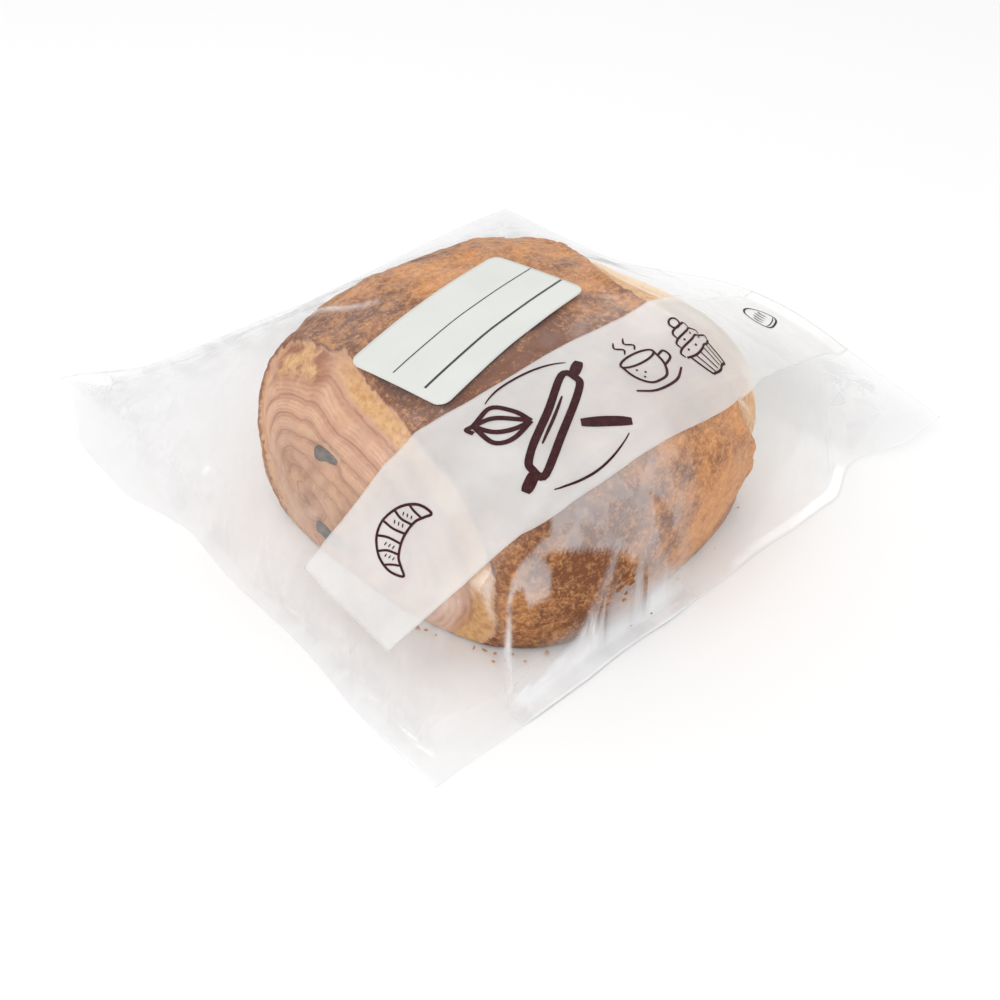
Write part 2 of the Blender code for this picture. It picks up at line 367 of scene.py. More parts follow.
class Shader:
    """A material with its Principled shader and short calls for the nodes before it."""

    def __init__(self, name):
        self.material = bpy.data.materials.new(name)
        self.material.use_nodes = True
        self.tree = self.material.node_tree
        self.surface = self.tree.nodes["Principled BSDF"]
        self.vector = self.tree.nodes.new("ShaderNodeTexCoord").outputs["Object"]

    def node(self, kind, **values):
        """Adds a node and sets its own values."""
        made = self.tree.nodes.new(kind)
        for key, value in values.items():
            setattr(made, key, value)
        return made

    def link(self, start, end):
        self.tree.links.new(start, end)

    def put(self, socket, value):
        """Links an output or sets a plain value."""
        if isinstance(value, bpy.types.NodeSocket):
            self.link(value, socket)
        else:
            socket.default_value = value

    def attribute(self, name):
        """A number that the mesh stores for each point."""
        return self.node("ShaderNodeAttribute", attribute_name=name).outputs["Fac"]

    def noise(self, scale, detail=4.0, roughness=0.55, distortion=0.0):
        """Noise on object coordinates."""
        made = self.node("ShaderNodeTexNoise")
        self.link(self.vector, made.inputs["Vector"])
        made.inputs["Scale"].default_value = scale
        made.inputs["Detail"].default_value = detail
        made.inputs["Roughness"].default_value = roughness
        made.inputs["Distortion"].default_value = distortion
        return made.outputs["Fac"]

    def spread(self, value, low, high, bottom=0.0, top=1.0):
        """Maps low..high to bottom..top, clamped."""
        made = self.node("ShaderNodeMapRange")
        self.put(made.inputs["Value"], value)
        made.inputs["From Min"].default_value = low
        made.inputs["From Max"].default_value = high
        made.inputs["To Min"].default_value = bottom
        made.inputs["To Max"].default_value = top
        return made.outputs["Result"]

    def math(self, operation, first, second=0.0):
        """One step of arithmetic on outputs or plain numbers."""
        made = self.node("ShaderNodeMath", operation=operation)
        self.put(made.inputs[0], first)
        self.put(made.inputs[1], second)
        return made.outputs["Value"]

    def plus(self, first, second):
        return self.math("ADD", first, second)

    def minus(self, first, second):
        return self.math("SUBTRACT", first, second)

    def times(self, first, second):
        return self.math("MULTIPLY", first, second)

    def wave(self, value):
        """0 in the middle of each whole step of a value, and 0.5 where one step meets the next."""
        return self.math("ABSOLUTE", self.minus(self.math("FRACT", value), 0.5))

    def mix(self, share, first, second):
        """A colour between two colours."""
        made = self.node("ShaderNodeMix", data_type="RGBA")
        self.put(made.inputs["Factor"], share)
        for socket, value in ((made.inputs["A"], first), (made.inputs["B"], second)):
            self.put(socket, (*value, 1.0) if not isinstance(value, bpy.types.NodeSocket) else value)
        return made.outputs["Result"]

    def bump(self, height, strength, distance):
        """Small relief in the shading."""
        made = self.node("ShaderNodeBump")
        made.inputs["Strength"].default_value = strength
        made.inputs["Distance"].default_value = distance
        self.link(height, made.inputs["Height"])
        return made.outputs["Normal"]

    def finish(self, **values):
        """Sets the Principled shader's own sockets."""
        for key, value in values.items():
            self.put(self.surface.inputs[key.replace("_", " ")], value)
        return self.material


# The bag's outline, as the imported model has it


def side_edge(y):
    """The left and right heat seal's x: the left one steps out towards its back ear."""
    half = BAG_LENGTH / 2
    ripple = 0.0006 * np.sin(y / 0.009)
    left = -half + 0.0055 * (1 - ramp(y, 0.004, 0.036)) + 0.0065 * ramp(y, 0.060, 0.088) + ripple
    right = half - 0.0012 * ramp(y, 0.040, 0.080)
    return np.maximum(left, -half), right


def fold_edge(x):
    """The front and back fold's y: a tuck near the right front corner, a pulled-in back left."""
    half = BAG_WIDTH / 2
    front = -half + 0.0055 * hump(x, 0.062, 0.020) + 0.0005 * np.sin(x / 0.008)
    back = half - 0.0100 * (1 - ramp(x, -0.020, 0.085))
    return np.maximum(front, -half), back


def seam_height(x, y):
    """How far the sealed margin curls up off the table."""
    half_x = BAG_LENGTH / 2
    half_y = BAG_WIDTH / 2
    near_right = 1 - ramp(half_x - x, 0.0, CURL_REACH)
    seal = SEAL_LIFT * hump(y, SEAL_LIFT_AT, SEAL_LIFT_REACH) * near_right
    back_ear = BACK_EAR_LIFT * (1 - ramp(np.hypot(x + half_x, y - half_y), 0.004, CURL_REACH))
    front_ear = FRONT_EAR_LIFT * (1 - ramp(np.hypot(x - half_x, y + half_y), 0.004, CURL_REACH))
    return seal + back_ear + front_ear


def band_edges(x):
    """Front and back edge of the band, which bow forward over the pastry's front shoulder."""
    rise = 1 - (1 - np.clip((x - BAND_BOW_START) / BAND_BOW_REACH, 0.0, 1.0)) ** 2.5
    bow = rise * (1 - ramp(x, -0.002, 0.092))
    flare = BAND_FLARE * ramp(x, 0.020, 0.080)
    return BAND_FRONT + 0.4 * flare - BAND_FRONT_BOW * bow, BAND_BACK + flare - BAND_BACK_BOW * bow


# The pastry


def box_grid(counts):
    """A closed box from -1 to 1 with a count of cells along each axis and one face below."""
    bm = bmesh.new()
    bmesh.ops.create_cube(bm, size=2.0)
    for axis, count in enumerate(counts):
        long_edges = [edge for edge in bm.edges if abs((edge.verts[0].co - edge.verts[1].co)[axis]) > 1.0]
        bmesh.ops.subdivide_edges(bm, edges=long_edges, cuts=count - 1, use_grid_fill=True)
    below = [face for face in bm.faces if face.normal.z < -0.5 and face.calc_center_median().z < -0.99]
    bmesh.ops.dissolve_faces(bm, faces=below, use_verts=True)
    return bm


def roll_form(points, settings):
    """Moves the box grid's points to the pastry's plain rounded form, in its own frame."""
    across = np.abs(points[:, :2]).max(axis=1)
    on_top = points[:, 2] > 0.9999
    spread = np.where(on_top, across, 1.0)
    square = points[:, :2] / np.maximum(across, 1e-6)[:, None]
    reach = 1.0 / (np.abs(square) ** PLAN_POWER).sum(axis=1) ** (1.0 / PLAN_POWER)
    side = (points[:, 2] + 1.0) / 2.0
    upper_side = np.clip((side - SIDE_SHARE) / (1 - SIDE_SHARE), 0.0, 1.0)
    rise = np.where(on_top, 1.0 - 0.5 * spread, 0.5 * upper_side)
    angle = rise * math.pi / 2
    out = np.cos(angle) ** (2.0 / DOME_POWER)
    lift = np.sin(angle) ** (2.0 / DOME_POWER)
    below = np.where(on_top, 0.0, np.clip(1.0 - side / SIDE_SHARE, 0.0, 1.0))
    out = out * (1.0 - UNDERCUT * below ** 3)
    height = settings.height * (SHOULDER * (1.0 - below) + (1.0 - SHOULDER) * lift)
    plan = square * (reach * out)[:, None] * np.array((settings.half_length, settings.half_width))
    return np.column_stack((plan, height))


def field(points, scale, octaves=3, seed=0.0):
    """Soft noise from about -1 to 1 at each point; scale is one number or one for each axis."""
    scaled = points * np.asarray(scale) + seed
    return np.array([noise.fractal(Vector(row), 1.0, 2.0, octaves) for row in scaled])


def plates(points, scale, seed=0.0):
    """Cells like flakes: each point's cell value from 0 to 1, and its nearness to the cell's edge."""
    value = np.empty(len(points))
    edge = np.empty(len(points))
    for index, row in enumerate(points * np.asarray(scale) + seed):
        distances, sites = noise.voronoi(Vector(row))
        value[index] = noise.noise(sites[0] * 7.31) * 0.5 + 0.5
        edge[index] = distances[1] - distances[0]
    return value, edge


def layer_run(points, edge_at, centre):
    """How far a point lies past the crust's edge towards the roll's centre, from 0 to 1.

    The edge's own distance from the centre is read in steps all round and drawn between them.
    """
    offset = points - centre
    distance = np.linalg.norm(offset, axis=1)
    direction = np.arctan2(offset[:, 1], offset[:, 2])
    turned = (direction + math.pi) / (2 * math.pi) * ROUND_STEPS
    near = np.abs(edge_at) < EDGE_REACH
    step = np.round(turned[near]).astype(int) % ROUND_STEPS
    total = np.bincount(step, distance[near], ROUND_STEPS)
    count = np.bincount(step, minlength=ROUND_STEPS)
    filled = np.flatnonzero(count)
    rim = np.interp(turned, filled, total[filled] / count[filled], period=ROUND_STEPS)
    return np.clip(1.0 - distance / rim, 0.0, 1.0), direction


def end_layers(points, end, settings):
    """Relief of one rolled end, and what its material reads: where its crust stops and its layers lie."""
    facing = -1.0 if end["side"] == "left" else 1.0
    turn = np.degrees(np.arctan2(points[:, 2] - ROLL_MIDDLE, points[:, 1]))
    turn = np.where(turn < -90.0, turn + 360.0, turn)
    edge_place = np.interp(turn, end["angles"], end["places"])
    ragged = 0.0005 * field(points, 150.0, 4, end["seed"])
    past = points[:, 0] * facing - edge_place + ragged
    run, direction = layer_run(points, past - ragged, np.array(end["centre"]))
    run = np.where(past > 0, run, 0.0)
    wander = 0.30 * field(points, 55.0, 2, end["seed"] + 3.0)
    order = settings.layers * run ** 1.25 + wander * ramp(run, 0.05, 0.3)
    order -= direction / (2 * math.pi) * end["twist"]
    phase = order - np.floor(order)
    groove = np.exp(-((np.minimum(phase, 1.0 - phase) / 0.13) ** 2))
    on_end = ramp(past, 0.0, 0.0012)
    beside_baked = np.abs(turn - BAKED_TURN)
    golden = on_end * (1.0 - ramp(run, 0.10, 0.14)) * ramp(beside_baked, 12.0, 30.0)
    relief = on_end * (-0.0005 * groove - 0.0009 * phase * ramp(run, 0.04, 0.12))
    relief += 0.0008 * hump(past, -0.0010, 0.0030) - 0.0009 * on_end
    rim = on_end * (1 - ramp(past, 0.005, 0.013)) * ramp(-beside_baked, -20.0, -8.0)
    return {"end": on_end, "past": past, "order": order, "rim": rim, "golden": golden, "relief": relief}


def make_pastry(settings):
    """The pastry: a closed rounded roll, its crust blistered and its layers bared at both ends."""
    bm = box_grid((settings.cells, int(settings.cells * 1.5), int(settings.cells * 0.62)))
    piece = new_object("pastry", bm, crust_material(settings))
    mesh = piece.data
    points = roll_form(places(mesh).astype(float), settings)
    put_places(mesh, points)
    flat = np.empty(len(points) * 3, np.float32)
    mesh.vertices.foreach_get("normal", flat)
    normals = flat.reshape(-1, 3).astype(float)

    ends = [end_layers(points, end, settings) for end in ROLL_ENDS]
    bare = sum(end["end"] for end in ends)
    relief = sum(end["relief"] for end in ends)
    plate, plate_edge = plates(points, (95.0, 150.0, 150.0), 4.0)
    crust = np.clip(1.0 - bare, 0.0, 1.0)
    relief += 0.0016 * field(points, 24.0, 2, 1.5)
    relief += crust * (0.00050 * field(points, (70.0, 120.0, 120.0), 3, 9.0) + 0.00055 * (plate - 0.5))
    relief -= crust * 0.00030 * (1.0 - ramp(plate_edge, 0.0, 0.10))
    relief += 0.00016 * field(points, (300.0, 520.0, 520.0), 2, 2.0)
    low = ramp(points[:, 2], 0.0, 0.006)
    points += normals * (relief * (0.25 + 0.75 * low))[:, None]

    for stick in STICKS:
        away = np.hypot((points[:, 1] - stick["across"]) / 2.0, points[:, 2] - stick["up"])
        hollow = (1.0 - ramp(away, 0.0022, 0.0040)) * (np.abs(points[:, 0]) > 0.03)
        points[:, 0] -= np.sign(points[:, 0]) * STICK_HOLLOW * hollow
    points[:, 2] = np.maximum(points[:, 2], PASTRY_BASE)
    put_places(mesh, to_part(points))

    point_attribute(mesh, "past", np.maximum(ends[0]["past"], ends[1]["past"]) * 1000.0)
    point_attribute(mesh, "order", np.where(points[:, 0] < 0, ends[0]["order"], ends[1]["order"]))
    point_attribute(mesh, "golden", sum(end["golden"] for end in ends))
    point_attribute(mesh, "cream", ends[1]["end"])
    point_attribute(mesh, "plate", plate)
    point_attribute(mesh, "rim", sum(end["rim"] for end in ends))
    # The toast darkening: a patch at the label's front side that is partly more-baked crust and partly
    # painted shade of the label, plus a rise towards the left end
    dark_x, dark_y = (points[:, 0] - TOAST_AND_SHADE_PLACE[0]) / 0.030, (points[:, 1] - TOAST_AND_SHADE_PLACE[1]) / 0.014
    browner = 0.30 * ramp(-points[:, 0], 0.005, 0.030)
    point_attribute(mesh, "toast_and_shade", np.exp(-(dark_x**2) - dark_y**2) + browner)


def to_part(points):
    """Turns and moves points from the pastry's own frame to the part's."""
    cos, sin = math.cos(PASTRY_TURN), math.sin(PASTRY_TURN)
    x = PASTRY_CENTRE[0] + points[:, 0] * cos - points[:, 1] * sin
    y = PASTRY_CENTRE[1] + points[:, 0] * sin + points[:, 1] * cos
    return np.column_stack((x, y, points[:, 2]))


def crust_color(shader, settings, broad, patch, mottle, grain):
    """Finely mottled brown, darker where the crust is more baked and where painted shade lies beside the
    label.
    """
    tone = shader.plus(shader.times(broad, 0.60), shader.times(patch, 0.35))
    tone = shader.plus(tone, shader.times(shader.attribute("plate"), 0.08))
    # Darkens the crust by the toast attribute: baked crust, and painted shade beside the label
    tone = shader.minus(tone, shader.times(shader.attribute("toast_and_shade"), 0.32))
    deep = shader.mix(shader.spread(tone, 0.40, 0.60), settings.crust_dark, settings.crust_mid)
    flake = shader.plus(shader.times(mottle, 0.55), shader.times(grain, 0.35))
    flake = shader.plus(flake, shader.times(tone, 0.35))
    return shader.mix(shader.spread(flake, 0.550, 0.770, 0.0, 0.80), deep, settings.crust_light)


def layer_color(shader, settings, patch, mottle):
    """Pale rolled layers with dark lines between them and golden and baked edges, and the lines alone."""
    order = shader.plus(shader.attribute("order"), shader.times(patch, 0.38))
    sway = shader.wave(order)
    line = shader.spread(sway, 0.430, 0.485)
    thin = shader.spread(shader.wave(shader.times(order, 5.0)), 0.20, 0.46)
    strand = shader.noise(170.0, 3.0, 0.60)
    pale = shader.mix(shader.spread(sway, 0.16, 0.50), settings.dough, LAYER_PINK)
    pale = shader.mix(shader.spread(strand, 0.42, 0.62, 0.0, 0.6), pale, LAYER_PINK)
    thin = shader.times(thin, shader.spread(patch, 0.38, 0.62, 0.02, 0.38))
    pale = shader.mix(thin, pale, LAYER_LINE)
    core = shader.mix(shader.spread(strand, 0.38, 0.62, 0.25, 0.80), LAYER_CORE, settings.dough)
    pale = shader.mix(shader.spread(order, 3.0, 5.5, 0.0, 0.85), pale, core)
    pale = shader.mix(shader.times(shader.attribute("cream"), 0.80), pale, LAYER_CREAM)
    warm = shader.mix(shader.spread(mottle, 0.38, 0.58), GOLDEN_DEEP, settings.golden)
    edged = shader.mix(shader.times(shader.attribute("golden"), 0.85), pale, warm)
    drawn = shader.times(line, shader.spread(strand, 0.40, 0.58, 0.05, 0.50))
    lined = shader.mix(drawn, edged, LAYER_LINE)
    crisp = shader.mix(shader.spread(patch, 0.46, 0.56), warm, LAYER_BAKED)
    return shader.mix(shader.times(shader.attribute("rim"), 0.90), lined, crisp), line


def crust_material(settings):
    """Laminated crust: finely mottled brown, with pale layered ends and a dark ragged line round them,
    partly painted shadow under the crust's edge and partly baked cracks.
    """
    shader = Shader("baked_crust")
    broad = shader.noise(38.0, 3.0, 0.55)
    patch = shader.noise(150.0, 4.0, 0.60)
    mottle = shader.noise(620.0, 4.0, 0.65)
    grain = shader.noise(1700.0, 2.0, 0.60)
    crust = crust_color(shader, settings, broad, patch, mottle, grain)
    layers, line = layer_color(shader, settings, patch, mottle)

    past = shader.plus(shader.attribute("past"), shader.spread(mottle, 0.3, 0.7, -0.35, 0.35))
    color = shader.mix(shader.spread(past, 0.0, 0.30), crust, layers)
    # A dark line round the layered ends: partly painted shadow under the crust's edge, partly baked cracks,
    # deeper at the baked rim
    lip_shadow_and_crack = shader.spread(shader.math("ABSOLUTE", shader.minus(past, 0.20)), 0.08, 0.40, 1.0, 0.0)
    lip_depth = shader.plus(shader.spread(patch, 0.40, 0.55, 0.2, 0.7), shader.attribute("rim"))
    color = shader.mix(shader.times(lip_shadow_and_crack, lip_depth), color, settings.crust_dark)

    rough_skin = shader.plus(shader.times(patch, 0.7), shader.times(mottle, 0.50))
    height = shader.minus(rough_skin, shader.times(line, 0.25))
    return shader.finish(Base_Color=color, Roughness=shader.spread(patch, 0.3, 0.7, 0.42, 0.62),
                         Normal=shader.bump(height, 0.60, 0.0008), Specular_IOR_Level=0.12)


def chocolate_material(settings):
    """Baked dark chocolate, matt and a little bloomed."""
    shader = Shader("dark_chocolate")
    bloom = shader.noise(420.0, 4.0, 0.6)
    color = shader.mix(shader.spread(bloom, 0.4, 0.7, 0.0, 0.5), settings.chocolate, CHOCOLATE_BLOOM)
    return shader.finish(Base_Color=color, Roughness=0.48, Normal=shader.bump(bloom, 0.4, 0.0006))


def make_sticks(settings):
    """The two chocolate sticks, which run through the roll and show at its ends."""
    bm = bmesh.new()
    for stick in STICKS:
        made = bmesh.ops.create_cube(bm, size=1.0)
        bmesh.ops.scale(bm, verts=made["verts"], vec=(2 * stick["reach"], STICK_WIDTH, STICK_DEPTH))
        bmesh.ops.rotate(bm, verts=made["verts"], matrix=Matrix.Rotation(stick["tilt"], 3, "X"))
        bmesh.ops.translate(bm, verts=made["verts"], vec=(0.0, stick["across"], stick["up"]))
    bmesh.ops.bevel(bm, geom=bm.edges[:], offset=STICK_ROUNDING, offset_type="OFFSET", segments=4,
                    profile=0.5, affect="EDGES", material=-1)
    ends = [edge for edge in bm.edges if abs(edge.verts[0].co.x) > 0.04]
    bmesh.ops.subdivide_edges(bm, edges=ends, cuts=3, use_grid_fill=True)
    bmesh.ops.triangulate(bm, faces=[face for face in bm.faces if len(face.verts) > 4])
    piece = new_object("chocolate_sticks", bm, chocolate_material(settings))
    points = places(piece.data).astype(float)
    points += np.column_stack([0.0007 * field(points, 210.0, 3, seed) for seed in (1.0, 5.0, 9.0)])
    points[:, 2] = np.maximum(points[:, 2], PASTRY_BASE + 0.0002)
    put_places(piece.data, to_part(points))


def make_crumbs(settings):
    """Flakes shed inside the bag, lying round the pastry's base."""
    draw = random.Random(7)
    bm = bmesh.new()
    for _ in range(CRUMBS):
        angle = draw.choice((draw.uniform(3.3, 4.9), draw.uniform(3.3, 4.9), draw.uniform(0.0, 2 * math.pi)))
        beside = 0.99 + 0.05 * draw.random() ** 2
        cos, sin = math.cos(angle), math.sin(angle)
        along = beside * settings.half_length * math.copysign(abs(cos) ** (2 / PLAN_POWER), cos)
        across = beside * settings.half_width * math.copysign(abs(sin) ** (2 / PLAN_POWER), sin)
        size = draw.uniform(0.0002, 0.0006)
        made = bmesh.ops.create_icosphere(bm, subdivisions=1, radius=1.0)
        flat = Matrix.Diagonal((size * draw.uniform(0.8, 2.0), size, size * 0.28, 1.0))
        turn = Matrix.Rotation(draw.uniform(0, math.pi), 4, "Z")
        place = Matrix.Translation((along, across, PASTRY_BASE + size * 0.3))
        bmesh.ops.transform(bm, matrix=place @ turn @ flat, verts=made["verts"])
    for vert in bm.verts:
        vert.co.x += 0.00025 * noise.noise(vert.co * 900.0)
        vert.co.y += 0.00025 * noise.noise(vert.co * 900.0 + Vector((7, 0, 0)))
    piece = new_object("crumbs", bm, crumb_material(settings))
    put_places(piece.data, to_part(places(piece.data).astype(float)))


def crumb_material(settings):
    """Loose flakes of the same crust."""
    shader = Shader("crust_flakes")
    patch = shader.noise(300.0, 3.0, 0.6)
    color = shader.mix(shader.spread(patch, 0.35, 0.65), settings.crust_mid, settings.crust_light)
    return shader.finish(Base_Color=color, Roughness=0.6, Normal=shader.bump(patch, 0.3, 0.0004))


# The film


def bag_grid(cells):
    """Plan places of a grid inside the bag's outline, closer together where the film falls steeply."""
    steps = np.linspace(0.0, 1.0, cells + 1)
    u, v = np.meshgrid(steps, np.interp(steps, FRONT_STEPS, FRONT_SHARES), indexing="ij")
    front, back = fold_edge(BAG_LENGTH * (u - 0.5))
    y = front + (back - front) * v
    left, right = side_edge(y)
    return left + (right - left) * u, y


def surface_of(*pieces):
    """A tree of the pieces' surfaces, for dropping rays on."""
    bm = bmesh.new()
    for piece in pieces:
        bm.from_mesh(piece.data)
    tree = BVHTree.FromBMesh(bm)
    bm.free()
    return tree


def drop(tree, x, y):
    """The height of a surface seen from above at each place, and 0 beside it."""
    heights = np.zeros(x.size)
    down = Vector((0, 0, -1))
    for index, (px, py) in enumerate(zip(x.ravel(), y.ravel())):
        hit = tree.ray_cast(Vector((px, py, 1.0)), down)[0]
        if hit is not None:
            heights[index] = hit.z
    return heights.reshape(x.shape)


def nearness(tree, x, y, z):
    """The distance from each place to the nearest point of a surface."""
    gaps = [tree.find_nearest(Vector(place))[3] for place in zip(x.ravel(), y.ravel(), z.ravel())]
    return np.array(gaps).reshape(x.shape)


def finer(values):
    """The same values on a grid of twice as many cells."""
    rows = np.empty((values.shape[0] * 2 - 1, values.shape[1]))
    rows[::2] = values
    rows[1::2] = (values[1:] + values[:-1]) / 2
    both = np.empty((rows.shape[0], values.shape[1] * 2 - 1))
    both[:, ::2] = rows
    both[:, 1::2] = (rows[:, 1:] + rows[:, :-1]) / 2
    return both


def stretch(film, lowest, held, rounds):
    """Relaxes a held skin over what lies below it."""
    for _ in range(rounds):
        mean = film.copy()
        mean[1:-1, 1:-1] = (film[2:, 1:-1] + film[:-2, 1:-1] + film[1:-1, 2:] + film[1:-1, :-2]) / 4
        film = np.where(held, film, np.maximum(mean + FILM_PUFF, lowest))
    return film


def unroll(x, y, z):
    """Plan places moved outwards by the drop from the pastry's top, so that steep film isn't squeezed."""
    from_x, from_y = x - PASTRY_CENTRE[0], y - PASTRY_CENTRE[1]
    distance = np.hypot(from_x, from_y) + 1e-6
    away = ramp(distance, 0.0, 0.030)
    longer = (distance + FILM_TOP - z) / distance * away + 1 - away
    return PASTRY_CENTRE[0] + from_x * longer, PASTRY_CENTRE[1] + from_y * longer


def facets(x, y, spacing, seed, longer):
    """Flat facets between random points: their height, from -1 to 1, and each one's own number."""
    draw = random.Random(seed)
    sites, heights = [], []
    half_x = np.abs(x).max() + 2 * spacing
    half_y = np.abs(y).max() + 2 * spacing
    for column in range(int(2 * half_x / (spacing * longer)) + 1):
        for row in range(int(2 * half_y / spacing) + 1):
            place_x = -half_x + (column + draw.uniform(-0.45, 0.45)) * spacing * longer
            place_y = -half_y + (row + 0.5 * (column % 2) + draw.uniform(-0.45, 0.45)) * spacing
            sites.append(Vector((place_x, place_y)))
            heights.append(draw.uniform(-1.0, 1.0))
    made = delaunay_2d_cdt(sites, [], [], 0, 1e-7)
    corners = [(place.x, place.y, heights[origin[0]]) for place, origin in zip(made[0], made[3])]
    tree = BVHTree.FromPolygons(corners, made[2])
    own = np.array([draw.uniform(0.0, 1.0) for _ in made[2]])
    hits = [tree.ray_cast(Vector((px, py, 2.0)), Vector((0, 0, -1))) for px, py in zip(x.ravel(), y.ravel())]
    height = np.array([hit[0].z for hit in hits]).reshape(x.shape)
    return height, own[[hit[2] for hit in hits]].reshape(x.shape)


def apart(x, y, start, stop):
    """The distance of places in a plane from a straight line between two places."""
    along = np.array(stop) - np.array(start)
    share = ((x - start[0]) * along[0] + (y - start[1]) * along[1]) / max(along @ along, 1e-12)
    share = np.clip(share, 0.0, 1.0)
    return np.hypot(x - start[0] - along[0] * share, y - start[1] - along[1] * share)


def pane_share(x, y, corners):
    """1 inside an outline and 0 outside it, with a narrow soft edge."""
    inside = np.zeros(x.shape, dtype=bool)
    nearest = np.full(x.shape, 1.0)
    for start, stop in zip(corners, corners[1:] + corners[:1]):
        slope = (stop[0] - start[0]) / (stop[1] - start[1] or 1e-9)
        inside ^= ((start[1] > y) != (stop[1] > y)) & (x < start[0] + (y - start[1]) * slope)
        nearest = np.minimum(nearest, apart(x, y, start, stop))
    return ramp(np.where(inside, nearest, -nearest), -0.0005, 0.0005)


def crease_share(place, corners, width):
    """1 on a bent line through places in space, fading within a width of it."""
    nearest = np.full(place.shape[:2], 1.0)
    for start, stop in zip(corners, corners[1:]):
        along = np.array(stop) - np.array(start)
        share = np.clip(((place - np.array(start)) @ along) / (along @ along), 0.0, 1.0)
        nearest = np.minimum(nearest, np.linalg.norm(place - start - share[..., None] * along, axis=-1))
    return np.exp(-((nearest / width) ** 2))


def drawn_film(tree, cells):
    """A held skin drawn over the pastry and relaxed on finer and finer grids, and its seam's height."""
    film = None
    for count, rounds in zip((cells // 4, cells // 2, cells), FILM_ROUNDS):
        x, y = bag_grid(count)
        seam = seam_height(x, y)
        lowest = np.maximum(seam + SEAL_GAP, padded(drop(tree, x, y), count) + FILM_CLEARANCE)
        lowest = np.where(label_share(x, y) > 0.99, np.maximum(lowest, label_patch(x, y, tree)), lowest)
        margin = max(1, round(MARGIN_WIDTH / BAG_LENGTH * count))
        held = np.ones_like(x, dtype=bool)
        held[margin:-margin, margin:-margin] = False
        film = lowest if film is None else np.maximum(finer(film), lowest)
        film = stretch(np.where(held, seam + SEAL_GAP, film), lowest, held, rounds)
    return x, y, film, seam


def film_haze(place, gap, inside, loose, crease_and_highlight, own, settings):
    """How much each point of the film veils what lies behind it, and where painted shade greys its crumpled
    facets.
    """
    along, height = place[..., 0], place[..., 2]
    facing = ramp(-place[..., 1], 0.070, 0.080)
    front = facing * ramp(along, -0.068, -0.060) * (1.0 - ramp(along, -0.020, -0.004))
    haze = mix(settings.clear, settings.hazy, ramp(gap, 0.0010, 0.0100))
    haze = mix(haze, settings.slack, ramp(gap, 0.0120, 0.0300))
    uneven = 0.45 * (own["medium"] - 0.5) + 0.45 * (own["coarse"] - 0.5) + 0.20 * (own["small"] - 0.5)
    haze *= 1.0 + loose * uneven
    over = ramp(height, 0.0060, 0.0160) * (1.0 - ramp(gap, 0.0200, 0.0350))
    beside = loose * ramp(gap, 0.0020, 0.0080) * (1.0 - over)
    haze += 0.08 * beside * ramp(0.6 * own["coarse"] + 0.4 * own["medium"], 0.52, 0.62)
    haze = np.maximum(haze, 0.10 * facing * loose * ramp(along, -0.005, 0.015))
    haze += front * FRONT_HAZE * (0.75 + 0.5 * own["medium"])
    for clearness, corners in PANES:
        share = facing * clearness * pane_share(along, height, corners)
        haze = mix(haze, 0.3 * settings.clear, share)
    # Creases add veil: a painted highlight that whitens them, which also lets the gloss show there
    haze += front * 0.50 * (1.0 - ramp(height, 0.0020, 0.0140)) + crease_and_highlight
    # Painted shade: some crumpled facets beside the pastry get a greyer colour and a little more veil,
    # standing in for darker reflections
    crumpled = beside * (1.0 - 0.75 * ramp(inside, 0.020, 0.040))
    shade = crumpled * np.maximum(ramp(own["medium"], 0.66, 0.72), 0.7 * ramp(own["small"], 0.80, 0.86))
    return np.clip(haze + 0.08 * shade, 0.0, 0.9), shade


def make_film(settings):
    """The closed film pouch, drawn over the pastry, faceted and creased where it is slack."""
    pastry = bpy.data.objects.get("pastry")
    if pastry is None:
        raise RuntimeError("The pastry has to be made before the film.")
    tree = surface_of(pastry)
    x, y, film, seam = drawn_film(tree, settings.cells)
    inside = np.minimum(BAG_LENGTH / 2 - np.abs(x), BAG_WIDTH / 2 - np.abs(y))
    loose = ramp(inside, 0.003, 0.016) * (1.0 - label_share(x, y)) * mix(1.0, 0.25, band_share(x, y))
    slack = loose * mix(0.45, 1.0, ramp(nearness(tree, x, y, film), 0.0005, 0.0060))
    far_x, far_y = unroll(x, y, film)
    out, own = 0.0, {}
    for name, spacing, height, seed, longer in FILM_FACETS:
        lift, own[name] = facets(far_x, far_y, spacing, seed, longer)
        out += slack * height * (lift + 0.6)
    place = np.stack((x, y, film), axis=-1)
    # Crease strength: a real ridge in the film, and painted highlight in its haze
    crease_and_highlight = sum(strength * crease_share(place, corners, width) for width, strength, corners in CREASES)
    out += CREASE_HEIGHT * crease_and_highlight
    place += grid_normals(x, y, film) * out[..., None]
    place[..., 2] = np.maximum(place[..., 2], seam + SEAL_GAP)
    gap = nearness(tree, *np.moveaxis(place, -1, 0))
    haze, shade = film_haze(place, gap, inside, loose, crease_and_highlight, own, settings)
    film_piece(place, haze, shade, settings)


def padded(heights, cells):
    """Heights widened by a cell all round and smoothed, never lower than they were."""
    wide = heights.copy()
    for axis in (0, 1):
        for shift in (-1, 1):
            wide = np.maximum(wide, np.roll(heights, shift, axis))
    soft = wide.copy()
    for _ in range(max(1, cells // 64)):
        soft[1:-1, 1:-1] = (soft[2:, 1:-1] + soft[:-2, 1:-1] + soft[1:-1, 2:] + soft[1:-1, :-2]
                            + 2 * soft[1:-1, 1:-1]) / 6
    return np.where(heights > 0, np.maximum(soft, heights), soft * (wide > 0))


def grid_normals(x, y, z):
    """Upward unit normals of a grid of points."""
    place = np.stack((x, y, z), axis=-1)
    normals = np.cross(np.gradient(place, axis=0), np.gradient(place, axis=1))
    return normals / np.linalg.norm(normals, axis=-1, keepdims=True)


